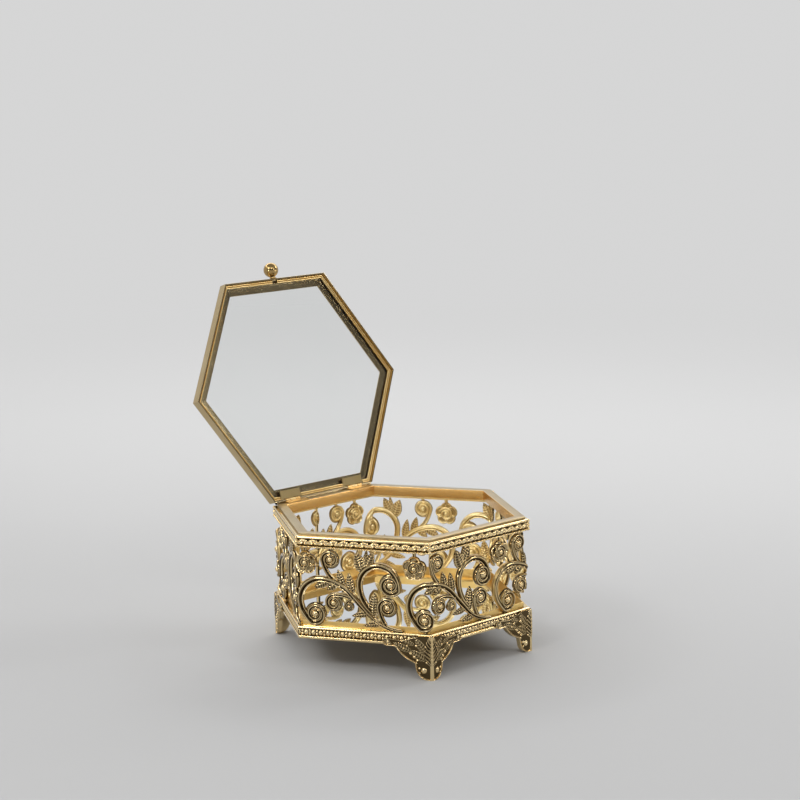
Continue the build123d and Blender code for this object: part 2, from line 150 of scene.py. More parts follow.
def make_piece(name, shape, material, body, replaces, crease, inside=None):
    """A mesh object of a shape in the part's frame, riding on a body in place of its CAD node.
    Inside is a second material and a direction, for the faces turned that way."""
    points, faces, painted_shade = shape
    mesh = bpy.data.meshes.new(name)
    mesh.from_pydata((points * MM).tolist(), [], faces.tolist())
    # each point's painted shade, kept for the gold materials to darken the colour by
    painted_shade_layer = mesh.attributes.new("painted_shade_layer", "FLOAT", "POINT")
    painted_shade_layer.data.foreach_set("value", painted_shade.astype(np.float32))
    cleaner = bmesh.new()
    cleaner.from_mesh(mesh)
    bmesh.ops.remove_doubles(cleaner, verts=cleaner.verts, dist=merge_distance * MM)
    bmesh.ops.dissolve_degenerate(cleaner, edges=cleaner.edges, dist=shortest_edge * MM)
    bmesh.ops.recalc_face_normals(cleaner, faces=cleaner.faces)
    cleaner.to_mesh(mesh)
    cleaner.free()
    mesh.shade_smooth()
    mesh.set_sharp_from_angle(angle=radians(crease))
    mesh.materials.append(material)
    if inside is not None:
        mesh.materials.append(inside[0])
        normals = np.zeros(3 * len(mesh.polygons), np.float32)
        mesh.polygons.foreach_get("normal", normals)
        turned = normals.reshape(-1, 3) @ inside[1] > inside_share
        mesh.polygons.foreach_set("material_index", turned.astype(np.int32))
    piece = add_object(name, mesh)
    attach(piece, body)
    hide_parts(replaces)


# Openwork band, in the same drawing as the solid: along the band, up from its lower edge
panel_sink = 1.2  # from the outer face of the box to the panel
panel_thickness = 1.2
panel_seat = 1.0  # depth of the band's edges in the rails
drawn_period = 53.15
drawn_start = -1.2
band_seam = -26.0  # where the band starts, before the back left corner
seam_edge_width = 0.6
border_height = 0.1  # how far the band's plain edges show beyond the rails
fold_take = 1.1  # length of band that one fold takes
fold_radius = 1.6
panel_side = (apothem - panel_sink - panel_thickness / 2) * 2 / sqrt(3)
wall_step = panel_side + fold_take
spacing = 0.5  # between the rings of a stem
width_smoothing = 8  # rings on each side that a change of width is spread over
meeting_reach = 7.0  # of a stem, in which it comes to meet its spiral
growing_reach = 9.0  # of a stem, in which it comes to its own width
back_share = 0.8  # how far the back stands out, as a share of the front
leaf_spacing = 0.24  # between the rows of a leaf
leaf_columns = 15
vein_pitch = 1.25
petal_count, petal_radius, petal_offset, rose_heart_radius = 5, 2.95, 3.1, 4.1

# Scroll stems: starting point, heading, then steps of radius, turn (left is positive) and width.
# A radius of 0 makes the turn value a straight length.
STEMS = [
    (7.2, 3.3, 156.4, [(10.35, -156.4, 3.2), (20, -47, 3.0), (0, 12.6, 2.7), (23, 47, 2.0)]),
    (49.0, 19.8, 80, [(9.4, 190, 3.1), (16, 43, 2.8), (0, 3, 2.0)]),
    (13.1, 32.6, -90, [(12.4, 55, 2.2)]),
    (17.6, 15.3, 20, [(10, -55, 1.9)]),
    (23.8, 11.2, 80, [(3.6, -95, 1.5)]),
    (39.9, 11.3, -90, [(14, 40, 1.9)]),
]
# The spiral boss that each stem starts from: middle, radius, where the stem leaves and its winding
BOSSES = [
    (8.6, 6.4, 6.1, -114, 1),
    (45.4, 22.0, 6.1, -31, -1),
    (16.4, 32.6, 5.1, 180, -1),
    (17.7, 12.0, 4.9, 90, 1),
    (25.2, 10.7, 2.8, 180, 1),
    (43.9, 11.3, 5.4, 180, -1),
]
# Leaves: base, tip and width
LEAVES = [
    (22.3, 18.5, 20.0, 28.0, 3.6),
    (26.8, 16.3, 25.0, 26.6, 3.6),
    (32.4, 27.0, 28.9, 36.6, 5.4),
    (32.8, 28.4, 34.2, 38.2, 2.4),
    (33.2, 28.4, 37.4, 37.2, 4.4),
    (15.6, 22.6, 8.3, 18.7, 3.8),
    (19.4, 21.7, 14.4, 17.9, 3.6),
    (35.2, 7.8, 26.3, 6.2, 2.8),
    (41.2, 3.6, 31.8, 1.9, 2.8),
    (36.3, 5.2, 37.6, 17.9, 4.8),
]
ROSE = (57.1, 30.6)
# Short links to the rails: place, lower and upper end, width
LINKS = [
    (57.1, 34.5, 38.2, 1.8),
    (16.4, 36.2, 38.2, 1.6),
    (8.6, -0.2, 2.0, 1.8),
]


def half_round(t):
    return np.sqrt(np.clip(1 - t * t, 0, 1))


def peak(distance, width):
    """A smooth rise to 1 where the distance is 0."""
    return np.exp(-((distance / width) ** 2))


def wave(turns):
    """Between 0 and 1, once for each turn."""
    return 0.5 + 0.5 * np.cos(2 * pi * turns)


def stem_section():
    """Places across a stem from -1 to 1, the height there and the painted shade on its front: a broad roll
    with a painted dark reflection over it except along its crest and its outer edge, and a thin roll
    beside it, bright on top and painted dark at its foot."""
    broad = np.linspace(pi, 0, 15)
    thin = np.linspace(pi, 0, 8)
    places = np.concatenate([-0.29 + 0.71 * np.cos(broad), 0.73 + 0.27 * np.cos(thin)])
    heights = np.concatenate([np.sin(broad), 0.66 * np.sin(thin)])
    crest = peak(np.cos(broad) + 0.12, 0.27)
    edge = peak(np.cos(broad) + 0.86, 0.1)
    front_painted_shade = np.concatenate([0.97 * (1 - crest) * (1 - 0.9 * edge), 1 - np.sin(thin) ** 0.4])
    return places, np.clip(heights, 0, 1), front_painted_shade


def stem_shape(centres, headings, widths, base, rise, inner):
    """A fluted stem along a path, alike in shape on front and back. The front carries the section's
    painted shade and the back painted shade in its low places. Inner is the side of the thin roll, 1 for
    the left."""
    t, height, front_painted_shade = stem_section()
    low = np.concatenate([front_painted_shade, np.clip(1 - height / 0.6, 0, 1)[::-1]])
    across = widths[:, None] / 2 * np.concatenate([t, t[::-1]])[None, :] * inner
    left = np.column_stack([-np.sin(headings), np.cos(headings)])
    swell = np.minimum(1, widths / widths.max() * 1.4)
    out = (base + np.zeros(len(centres)))[:, None] + (rise * swell)[:, None] * height[None, :]
    out = np.hstack([out, -back_share * out[:, ::-1]])
    in_plane = centres[:, None, :] + left[:, None, :] * across[:, :, None]
    return tube(np.dstack([in_plane, out]), np.tile(low, (len(centres), 1)))


def stem_path(x, y, heading, steps):
    """Points and widths along a stem, with smooth changes of width and round ends."""
    heading = radians(heading)
    centres, widths = [(x, y)], [steps[0][2]]
    for radius, turn, width in steps:
        length = abs(turn) if radius == 0 else radius * radians(abs(turn))
        count = max(2, ceil(length / spacing))
        bend = 0 if radius == 0 else radians(turn) / count
        for _ in range(count):
            x += cos(heading + bend / 2) * length / count
            y += sin(heading + bend / 2) * length / count
            heading += bend
            centres.append((x, y))
            widths.append(width)
    window = 2 * width_smoothing + 1
    padded = np.pad(widths, width_smoothing, mode="edge")
    widths = np.convolve(padded, np.ones(window) / window, mode="valid")
    steps_in = np.arange(len(widths))
    from_end = spacing * np.minimum(steps_in, steps_in[::-1])
    return np.array(centres), widths * rounded_end(from_end, 1.0)


def headings_along(path):
    slope = np.gradient(path, axis=0)
    return np.arctan2(slope[:, 1], slope[:, 0])


def rounded_end(distance, reach):
    """Share of the full width at a distance from a round end."""
    return np.sqrt(np.clip(1 - (1 - np.clip(distance / reach, 0, 1)) ** 2, 0.0004, 1))


def polar_shape(x, y, reach, height, base, rings=12, sectors=48, deep=0.55):
    """A relief over a round or lobed outline, alike on front and back, with painted shade in its low places.
    Reach is a radius or a function of the angle; height is the rise of a dome or a function of the share of
    the reach and the angle. Deep is the share of the highest point below which painted shade begins."""
    angle = np.linspace(0, 2 * pi, sectors, endpoint=False)[None, :]
    share = np.linspace(0, 1, rings)[:, None] ** 0.8
    radius = share * (reach(angle) if callable(reach) else reach)
    heights = height(share, angle) if callable(height) else height * half_round(share)
    heights = heights * np.ones((rings, sectors))
    front = np.stack([x + radius * np.cos(angle), y + radius * np.sin(angle), base + heights], axis=-1)
    low = np.clip(1 - heights / (deep * heights.max()), 0, 1)
    return two_sided(front, low, closed=True)


# low is each point's painted shade, the same on the back
def two_sided(front, low, closed=False):
    return sheet(front, front * [1, 1, -back_share], low, closed, 1)


def spiral_path(x, y, radius, start, hand):
    """Points, headings, widths, bases and rises of a roll that winds in towards a ball."""
    turns = 1.55 if radius > 2.6 else 1.15
    share = np.linspace(0, 1, int(46 * turns))
    distance = radius * (0.79 - 0.50 * share ** 0.85)
    angle = radians(start) + hand * 2 * pi * turns * share
    centres = np.column_stack([x + distance * np.cos(angle), y + distance * np.sin(angle)])
    headings = angle + hand * pi / 2 + hand * 0.12
    widths = radius * (0.43 - 0.17 * share) * rounded_end((1 - share) * 5, 0.5)
    return centres, headings, widths, 0.25 + 0.55 * share, (0.22 - 0.08 * share) * radius


def boss_ground(x, y, radius, lift=0.0):
    """The domed disc under a spiral and the ball at its middle."""
    ball_radius = radius * 0.28
    # the disc's painted shade covers all of it and is strongest at its rim
    disc = polar_shape(x, y, radius * 0.88, 0.6, lift, deep=1.6)
    return [disc, polar_shape(x, y, ball_radius, ball_radius, lift + 0.7, 10, 28, 0.12)]


def spiral_boss(x, y, radius, start, hand, lift=0.0):
    """A domed disc with a roll that winds in to a ball."""
    centres, headings, widths, base, rise = spiral_path(x, y, radius, start, hand)
    roll = stem_shape(centres, headings, widths, lift + base, rise, hand)
    return boss_ground(x, y, radius, lift) + [roll]


def scroll_shapes(stem, boss):
    """A stem that winds in to the ball of the boss at its start, as one roll."""
    centres, widths = stem_path(*stem)
    coil, _, coil_widths, coil_base, coil_rise = spiral_path(*boss)
    from_start = spacing * np.arange(len(centres))
    ease = np.clip(1 - from_start / meeting_reach, 0, 1) ** 2
    centres = centres + (coil[0] - centres[0]) * ease[:, None]
    grown = np.clip(from_start / growing_reach, 0, 1)
    widths = np.where(grown < 1, np.maximum(widths[len(widths) // 3], widths), widths)
    widths = coil_widths[0] * (1 - grown) + widths * grown
    rise = coil_rise[0] * (1 - grown) + 0.46 * widths.max() * grown
    path, widths, base, rise = (np.concatenate([inner[:0:-1], outer]) for inner, outer in (
        (coil, centres), (coil_widths, widths), (coil_base, 0.12 + 0.13 * ease), (coil_rise, rise)))
    first_turn = stem[3][0][1]
    roll = stem_shape(path, headings_along(path), widths, base, rise, 1 if first_turn > 0 else -1)
    return [roll] + boss_ground(*boss[:3])


def leaf_shape(x0, y0, x1, y1, width):
    """A pointed leaf with a raised edge, a midrib and slanting veins."""
    base, tip = np.array([x0, y0]), np.array([x1, y1])
    length = np.linalg.norm(tip - base)
    direction = (tip - base) / length
    left = np.array([-direction[1], direction[0]])
    s = np.linspace(0, 1, int(length / leaf_spacing) + 6)[:, None]
    t = np.linspace(-1, 1, leaf_columns)[None, :]
    half = width / 2 * 1.08 * np.sin(pi * np.clip(s, 0.004, 0.996) ** 0.8) ** 0.75
    in_plane = base + direction * (s * length)[:, :, None] + left * (half * t)[:, :, None]
    veins = wave(s * length / vein_pitch - 0.6 * np.abs(t))
    rib, edge = peak(t, 0.16), peak(np.abs(t) - 0.84, 0.13)
    dome = 0.35 * half_round(t) * np.sin(pi * np.clip(s, 0.05, 0.95)) ** 0.4
    relief = dome + 0.34 * veins * (1 - rib) * (1 - edge) + 0.36 * rib + 0.34 * edge
    fade = np.minimum(1, half / (0.25 * width))
    out = 0.15 + relief * fade * (0.7 + 0.12 * width)
    # painted shade over the leaf, as a dark reflection, lighter along the vein crests, the midrib and the
    # edge
    low = np.clip((1.3 - veins ** 3) * (1 - 0.7 * rib) * (1 - 0.85 * edge), 0, 0.95)
    return two_sided(np.dstack([in_plane, out]), low)


def rose_shape(x, y):
    """Cupped petals round a spiral heart."""
    shapes = []
    for petal in range(petal_count):
        toward = radians(90 + 360 / petal_count * petal)

        def reach(angle):
            return petal_radius - 0.15 * np.cos(2 * (angle - toward))

        def height(share, angle):
            outer = 0.5 + 0.5 * np.cos(angle - toward)
            return (0.4 + 0.9 * peak(share - 0.82, 0.14) * outer ** 0.4) * half_round(share ** 4)

        middle = x + petal_offset * cos(toward), y + petal_offset * sin(toward)
        # each petal's painted shade is deepest in its cup and left off its raised rim
        shapes.append(polar_shape(*middle, reach, height, 0.05 + 0.05 * petal, 18, 40, 0.85))
    return shapes + spiral_boss(x, y, rose_heart_radius, 20, 1, 0.5)


def strip_shape(u0, u1, v0, v1):
    """A plain flat stretch of the band, fine enough to bend."""
    u, v = np.meshgrid(np.linspace(u0, u1, max(2, ceil((u1 - u0) / 0.8))), [v0, v1])
    front = np.stack([u, v, np.full(u.shape, panel_thickness / 2)], axis=-1)
    return sheet(front, front * [1, 1, -1], np.zeros(u.shape))


def one_repeat():
    """All the shapes of one repeat of the ornament."""
    shapes = [shape for scroll in zip(STEMS, BOSSES) for shape in scroll_shapes(*scroll)]
    shapes += [leaf_shape(*place) for place in LEAVES]
    shapes += rose_shape(*ROSE)
    for x, low, high, width in LINKS:
        centres = np.array([(x, y) for y in np.arange(low, high + 0.1, 0.4)])
        ones = np.ones(len(centres))
        shapes.append(stem_shape(centres, ones * pi / 2, ones * width, 0.0, 0.5, 1))
    return shapes


def bend_round_box(points):
    """From band coordinates (along, up, outward) to the part's frame, folded at the six corners."""
    number = np.floor((points[:, 0] + fold_take / 2) / wall_step)
    x = points[:, 0] - number * wall_step - panel_side / 2
    straight = panel_side / 2 - fold_radius * tan(half_turn)
    past = np.clip(np.abs(x) - straight, 0, None)
    turn = past / (wall_step / 2 - straight) * half_turn
    radius = fold_radius + points[:, 2]
    local_x = np.where(past > 0, np.sign(x) * (straight + radius * np.sin(turn)), x)
    local_n = np.where(past > 0, radius * np.cos(turn) - fold_radius, points[:, 2])
    facing = np.radians(first_wall_angle + 60 * number)
    distance = apothem - panel_sink - panel_thickness / 2 + local_n
    return np.column_stack([
        np.cos(facing) * distance - np.sin(facing) * local_x,
        np.sin(facing) * distance + np.cos(facing) * local_x + middle_y,
        points[:, 1] + openwork_bottom,
    ])


def openwork():
    """The band's ornament, sorted by wall."""
    band_end = band_seam + 6 * wall_step
    low, high = -panel_seat, openwork_height + panel_seat
    longest_overhang = 6
    walls = {name: [] for name in WALL_NAMES}

    def place(shape):
        middle = (shape[0][:, 0].min() + shape[0][:, 0].max()) / 2
        if not band_seam - longest_overhang < middle < band_end + longest_overhang:
            return
        points = shape[0].copy()
        points[:, 0] = np.clip(points[:, 0], band_seam, band_end)
        points[:, 1] = np.clip(points[:, 1], low, high)
        if np.ptp(points[:, 0]) < 0.02:
            return
        middle = np.clip(middle, band_seam, band_end - 0.01)
        number = int(np.floor((middle + fold_take / 2) / wall_step)) % 6
        walls[WALL_NAMES[number]].append((bend_round_box(points), shape[1], shape[2]))

    repeat = one_repeat()
    for copy in range(-3, 7):
        shift = np.array([wall_step + drawn_start + copy * drawn_period, 0, 0])
        for shape in repeat:
            place(moved(shape, lambda points: points + shift))
    for number in range(-1, 6):
        start = max(band_seam, number * wall_step - fold_take / 2)
        end = min(band_end, (number + 1) * wall_step - fold_take / 2)
        place(strip_shape(start, end, low, border_height))
        place(strip_shape(start, end, openwork_height - border_height, high))
    place(strip_shape(band_seam, band_seam + seam_edge_width, low, high))
    place(strip_shape(band_end - seam_edge_width, band_end, low, high))
    return {name: combined(shapes) for name, shapes in walls.items()}


# Straight strips with mitred ends


def rounded(profile, radius, steps=3):
    """A closed outline with each corner replaced by a small arc."""
    profile = np.asarray(profile, float)
    points = []
    for before, corner, after in zip(np.roll(profile, 1, 0), profile, np.roll(profile, -1, 0)):
        into, out = corner - before, after - corner
        reach = min(radius, np.linalg.norm(into) / 2, np.linalg.norm(out) / 2)
        start = corner - into / np.linalg.norm(into) * reach
        end = corner + out / np.linalg.norm(out) * reach
        for share in np.linspace(0, 1, steps + 1):
            points.append((1 - share) ** 2 * start + 2 * share * (1 - share) * corner + share ** 2 * end)
    return np.array(points)


def flat(x, height):
    return 0 * x


def mitred_strip(profile, facing, wall_apothem, ends=(-1, 1), stations=2, relief=flat, low=flat):
    """A strip along a wall from its cross-section of depths and heights. An end of 1 or -1 is cut to
    the corner plane, and any other end is square, at that distance from the middle of the wall."""
    profile = np.asarray(profile, float)
    depth, height = profile[:, 0], profile[:, 1]
    # low gives each point's painted shade from its place along the strip and its height
    rows, painted_shade = [], []
    for share in np.linspace(0, 1, stations):
        mitre = (wall_apothem - depth) / sqrt(3)
        left, right = [end * mitre if abs(end) == 1 else end + 0 * mitre for end in ends]
        x = left * (1 - share) + right * share
        distance = wall_apothem - depth + relief(x, height)
        point = outward(facing) * distance[:, None] + along(facing) * x[:, None]
        point[:, 1] += middle_y
        point[:, 2] = height
        rows.append(point)
        painted_shade.append(low(x, height))
    return combined([tube(rows, painted_shade), end_cap(rows[0]), end_cap(rows[-1])])


def end_cap(ring):
    """A fan that closes one end of a strip."""
    index = np.arange(len(ring))
    centre = np.full(len(ring), len(ring))
    faces = np.column_stack([index, np.roll(index, -1), centre, centre])
    return np.vstack([ring, ring.mean(axis=0)]), faces, np.zeros(len(ring) + 1)


def arc_points(x, y, radius, start, end, count):
    angles = np.radians(np.linspace(start, end, count))
    return np.column_stack([x + radius * np.cos(angles), y + radius * np.sin(angles)])


band_sink = 0.5  # from the outer face of the box to the rails' bands of ornament
base_edge_height = 1.2
base_edge_round = 0.2
top_bead_radius = 0.65
lower_bead_radius = 0.4
base_bead_radius = 0.55
stations_per_rail = 440
front_depth = 1.0  # what lies less deep than this is the front of a rail's section


def bump(x, z, reach_x, reach_z, slant=0.0):
    """A half ellipsoid of height 1."""
    c, s = cos(radians(slant)), sin(radians(slant))
    q = ((x * c + z * s) / reach_x) ** 2 + ((z * c - x * s) / reach_z) ** 2
    return np.sqrt(np.clip(1 - q, 0, 1))


def repeated(x, pitch):
    """Distance from the middle of the nearest repeat."""
    return x - pitch * np.round(x / pitch)


# the rails' bands get painted shade where their relief is low
ground_height = 0.26  # relief below this height is darkened


def painted_band_shade(relief, in_band):
    """The painted shade of a rail's band, as a function of place: full where its relief is low."""
    return lambda x, z: np.where(in_band(z), np.clip(1 - relief(x, z) / ground_height, 0, 1), 0)


top_band_middle = openwork_top + 2.65
leaf_pitch = 5.0
pearl_pitch = 0.85


def in_top_band(z):
    return (z > openwork_top + 0.85) & (z < rail_top - 1.25)


def top_relief(x, z):
    """Slanting leaves with pairs of beads between them, and a line of pearls below."""
    local = repeated(x, leaf_pitch)
    up = z - top_band_middle
    leaf = np.maximum(bump(local + 0.7, up - 0.15, 1.95, 0.74, 32),
                      bump(local + 0.1, up + 0.6, 1.35, 0.5, 20))
    beads = np.maximum(bump(local - 1.5, up - 0.62, 0.72, 0.62), bump(local - 1.75, up + 0.62, 0.66, 0.58))
    ends = bump(repeated(x + leaf_pitch / 2, leaf_pitch), up + 0.1, 0.6, 1.05)
    pearls = 0.30 * bump(repeated(x, pearl_pitch), z - openwork_top - lower_bead_radius, 0.42, 0.5)
    in_pearls = z < openwork_top + 2 * lower_bead_radius + 0.02
    pattern = np.maximum.reduce([0.55 * leaf, 0.5 * beads, 0.42 * ends])
    return np.where(in_top_band(z), pattern, 0) + np.where(in_pearls, pearls - 0.12, 0)


base_band_middle = rail_bottom + 3.05
base_pitch = 3.6


def in_base_band(z):
    return (z > rail_bottom + base_edge_height + 0.05) & (z < openwork_bottom - 2 * base_bead_radius)


def bottom_relief(x, z):
    """Large pearls with pairs of small ones between them."""
    local = repeated(x, base_pitch)
    other = repeated(x + base_pitch / 2, base_pitch)
    up = z - base_band_middle
    large = bump(local, up, 1.1, 1.2)
    pair = np.maximum(bump(other, up - 0.72, 0.66, 0.66), bump(other, up + 0.72, 0.66, 0.66))
    return np.where(in_base_band(z), np.maximum(0.62 * large, 0.5 * pair), 0)


def top_rail_profile():
    face_low = openwork_top + 2 * lower_bead_radius + 0.08
    face_high = rail_top - 2 * top_bead_radius + 0.1
    seat = openwork_top + panel_seat
    return np.vstack([
        [(panel_sink, openwork_top)],
        arc_points(band_sink, openwork_top + lower_bead_radius, lower_bead_radius, 270, 90, 9),
        np.column_stack([np.full(22, band_sink), np.linspace(face_low, face_high, 22)]),
        arc_points(top_bead_radius, rail_top - top_bead_radius, top_bead_radius, 255, 90, 12),
        [(rail_depth, rail_top), (rail_depth, seat), (panel_sink, seat)],
    ])


def bottom_rail_profile():
    edge_top = rail_bottom + base_edge_height
    bead_z = openwork_bottom - base_bead_radius
    seat = openwork_bottom - panel_seat
    face = np.linspace(edge_top + 0.02, bead_z - base_bead_radius + 0.03, 24)
    return np.vstack([
        [(rail_depth, rail_bottom)],
        arc_points(base_edge_round, rail_bottom + base_edge_round, base_edge_round, 270, 180, 4),
        arc_points(base_edge_round, edge_top - base_edge_round, base_edge_round, 180, 90, 4),
        np.column_stack([np.full(24, band_sink), face]),
        arc_points(base_bead_radius, bead_z, base_bead_radius, 260, 90, 11),
        [(panel_sink, openwork_bottom), (panel_sink, seat), (rail_depth, seat)],
    ])


def rail_shape(profile, facing, relief, in_band):
    """A moulded rail. The relief and its painted shade stand only on the front of the section."""
    front = profile[:, 0] < front_depth

    def in_front(function):
        return lambda x, z: np.where(front, function(x, z), 0)

    return mitred_strip(profile, facing, apothem, (-1, 1), stations_per_rail, in_front(relief),
                        in_front(painted_band_shade(relief, in_band)))


edge_round = 0.14
rim_leg_thickness = 0.8
base_strip_thickness = 0.6
rim_strip_thickness = 1.0


def rim_strip(facing):
    """A flat strip over the top rail with a leg down the rail's inside."""
    start, end = rim_low[1] - rail_low[1], rim_high[1] - rail_low[1]
    bottom, top = rim_low[2], rim_high[2]
    under, leg = top - rim_strip_thickness, end - rim_leg_thickness
    corners = [(start, under), (start, top), (end, top), (end, bottom), (leg, bottom), (leg, under)]
    return mitred_strip(rounded(corners, edge_round), facing, apothem)


def base_strip(facing):
    """A flat strip at the edge of the floor with a leg up the rail's inside."""
    start, end = base_low[1] - rail_low[1], base_high[1] - rail_low[1]
    bottom, top = base_low[2], base_high[2]
    over, leg = bottom + base_strip_thickness, start + base_strip_thickness
    corners = [(start, bottom), (start, top), (leg, top), (leg, over), (end, over), (end, bottom)]
    return mitred_strip(rounded(corners, edge_round), facing, apothem)


# Lid pieces, made shut and swung open about the hinge
open_turn = radians(-hinge["range_deg"][0])


def swung(points, angle):
    """Points turned back about the hinge by an angle."""
    y, z = points[:, 1] - hinge_y, points[:, 2] - hinge_z
    return np.column_stack([points[:, 0], hinge_y + y * cos(angle) + z * sin(angle),
                            hinge_z - y * sin(angle) + z * cos(angle)])


def opened(points):
    return swung(points, open_turn)


def shut_box(name):
    """A lid node's lowest and highest corner with the lid shut."""
    points = np.array([vertex.co for vertex in nodes[name].data.vertices]) / MM
    shut = swung(points, -open_turn)
    return shut.min(axis=0), shut.max(axis=0)


lid_low, lid_high = shut_box("lid_strip_front")
lid_apothem = middle_y - lid_low[1]
lid_wall_thickness = 0.7
lid_flange_thickness = 0.6
bead_low, bead_high = shut_box("glass_bead")
hinge_places = [(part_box(f"hinge_pin_{hand}")[0].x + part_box(f"hinge_pin_{hand}")[1].x) / 2 / MM
                for hand in ("left", "right")]
bead_width = 0.95
notch_half = 4.95  # half of a gap in the lid's edge for a hinge's knuckles
leaf_half = 6.65  # half of a gap in the glass bead for a hinge's leaf
rivet_half = 1.5
hinge_roll_radius = 1.0  # the lid's edge is rolled round the hinge line
lid_roll_end = 31.0


def beside_hinges(half, end=1):
    """The stretches of the back wall beside two gaps at the hinges, each gap twice half wide."""
    left, right = hinge_places
    return [(-end, -(right + half)), (-(right - half), -(left + half)), (-(left - half), end)]


def lid_strip(name, facing):
    """An L-shaped strip of the lid; the back one's wall is cut away at the hinges."""
    flange, leg = lid_high[1] - lid_low[1], lid_wall_thickness
    top, bottom = lid_high[2], lid_low[2]
    under, wall_top = top - lid_flange_thickness, top - 0.1
    if name != "back":
        corners = [(0, bottom), (0, top), (flange, top), (flange, under), (leg, under), (leg, bottom)]
        return mitred_strip(rounded(corners, edge_round), facing, lid_apothem)
    plate = rounded([(0, under), (0, top), (flange, top), (flange, under)], edge_round)
    wall = rounded([(0, bottom), (0, wall_top), (leg, wall_top), (leg, bottom)], edge_round)
    roll = arc_points(middle_y + lid_apothem - hinge_y, hinge_z, hinge_roll_radius, 0, 345, 24)
    parts = [(plate, (-1, 1))] + [(wall, ends) for ends in beside_hinges(notch_half)]
    parts += [(roll, ends) for ends in beside_hinges(notch_half, lid_roll_end)]
    return combined([mitred_strip(profile, facing, lid_apothem, ends) for profile, ends in parts])


def glass_bead_shapes():
    """Double beads under the glass, left out at the hinges and at the knob's rivet."""
    top, height = bead_high[2], bead_high[2] - bead_low[2]
    across = np.linspace(0, pi, 9)
    section = [(lid_wall_thickness, top)]
    for number in range(2):
        middle = lid_wall_thickness + (0.5 + number) * bead_width
        section += [(middle - bead_width / 2 * cos(a), top - height * sin(a)) for a in across]
    section.append((lid_wall_thickness + 2 * bead_width, top))

    # painted shade where the beads meet the flat and each other, none on their crowns
    def low(x, z):
        return np.clip(1 - (top - z) / (0.5 * height), 0, 1)

    spans = {"back": beside_hinges(leaf_half), "front": [(-1, -rivet_half), (rivet_half, 1)]}
    return combined([mitred_strip(section, facing, lid_apothem, ends, low=low)
                     for name, facing in WALLS.items() for ends in spans.get(name, [(-1, 1)])])


def knob_shape():
    """A turned ball on a neck with a small collar, standing on the front of the lid."""
    low, high = shut_box("knob")
    middle_x, _, middle_z = (low + high) / 2
    radius = (high[0] - low[0]) / 2
    ball, wall = low[1] + radius, high[1]
    collar_radius, neck_radius = 1.9, 1.45
    outline = [(wall, 0.0), (wall, collar_radius), (wall - 0.25, 2.05), (wall - 0.5, collar_radius),
               (wall - 0.6, 1.5), (wall - 0.9, neck_radius)]
    neck_angle = np.degrees(np.arcsin(neck_radius / radius))
    for angle in np.radians(np.linspace(neck_angle, 180, 30)):
        outline.append((ball + radius * cos(angle), radius * sin(angle)))
    around = np.linspace(0, 2 * pi, 48, endpoint=False)
    rings = [(middle_x + r * np.cos(around), np.full(48, y), middle_z + r * np.sin(around))
             for y, r in outline]
    return tube([np.column_stack(ring) for ring in rings], np.zeros((len(outline), 48)))


# Feet
foot_relief = 1.3  # how far the foot's ornament stands out from the wall
sole_width = 1.6
# Outline of the long wing, as reach along the wall and height
lobe = (7.4, 5.2)
lobe_bulge = (5.6, 1.55)
cusp = (8.0, 8.0)
arch_middle = (13.2, 10.6)
arch_end = (17.4, 15.4)
tip_low = (21.5, 15.4)
tip_middle = (23.5, 17.2)
tip_high = (21.5, 19.2)
shoulder = (14.5, 18.4)
crest = (6.0, 20.8)
wing_reach = 23.5
short_wing_reach = 18.5
foot_ledge = 1.7  # how far the ledge under the rail reaches inward
corner_round = 0.8
ridge_leaf_start = 7.0
ridge_vein_pitch = 1.9


def arc_through(a, b, c, count):
    """Points on the arc that runs from a by way of b to c."""
    a, b, c = (np.array(p, float) for p in (a, b, c))
    centre = np.linalg.solve(2 * np.array([b - a, c - a]), [b @ b - a @ a, c @ c - a @ a])
    start, middle, end = (np.arctan2(p[1] - centre[1], p[0] - centre[0]) for p in (a, b, c))
    sweep = (end - start) % (2 * pi)
    if (middle - start) % (2 * pi) > sweep:
        sweep -= 2 * pi
    angles = start + sweep * np.linspace(0, 1, count)
    return centre + np.linalg.norm(a - centre) * np.column_stack([np.cos(angles), np.sin(angles)])


def wing_edges():
    """Lower and upper outline of a foot's long wing."""
    tip_turn = tip_middle[0] - 0.5
    lower = np.vstack([
        [(0, 0), (sole_width, 0)],
        arc_through((sole_width, 0), lobe_bulge, lobe, 14)[1:],
        [cusp],
        arc_through(cusp, arch_middle, arch_end, 14)[1:],
        [tip_low],
        arc_through(tip_low, (tip_turn, 16.0), tip_middle, 6)[1:],
    ])
    upper = np.vstack([[(0, foot_top)], [crest], [shoulder], [tip_high],
                       arc_through(tip_high, (tip_turn, 18.4), tip_middle, 6)[1:]])
    return lower, upper


def edge_distance(x, z, outline):
    """Distance from points to a line of points."""
    best = np.full(np.shape(x), 1e9)
    for (x0, z0), (x1, z1) in zip(outline[:-1], outline[1:]):
        dx, dz = x1 - x0, z1 - z0
        share = np.clip(((x - x0) * dx + (z - z0) * dz) / (dx * dx + dz * dz + 1e-9), 0, 1)
        best = np.minimum(best, np.hypot(x - x0 - share * dx, z - z0 - share * dz))
    return best


def corner_wrap(reach, height, out, facing_left):
    """Points at a signed distance from a corner, along the wall to its left (negative) or right."""
    straight = corner_round * tan(half_turn)
    side, far = np.sign(reach), np.abs(reach)
    facing = np.where(side < 0, radians(facing_left), radians(facing_left + 60))
    middle = radians(facing_left) + half_turn
    towards = np.array([cos(middle), sin(middle)])
    corner = towards * apothem / cos(half_turn)
    centre = corner - towards * corner_round / cos(half_turn)
    around = middle + side * (np.clip(far / straight, 0, 1) * half_turn)
    radius = corner_round + out
    x = np.where(far > straight, corner[0] - np.sin(facing) * reach + np.cos(facing) * out,
                 centre[0] + radius * np.cos(around))
    y = np.where(far > straight, corner[1] + np.cos(facing) * reach + np.sin(facing) * out,
                 centre[1] + radius * np.sin(around))
    return np.stack([x, y + middle_y, height * np.ones_like(x)], axis=-1)


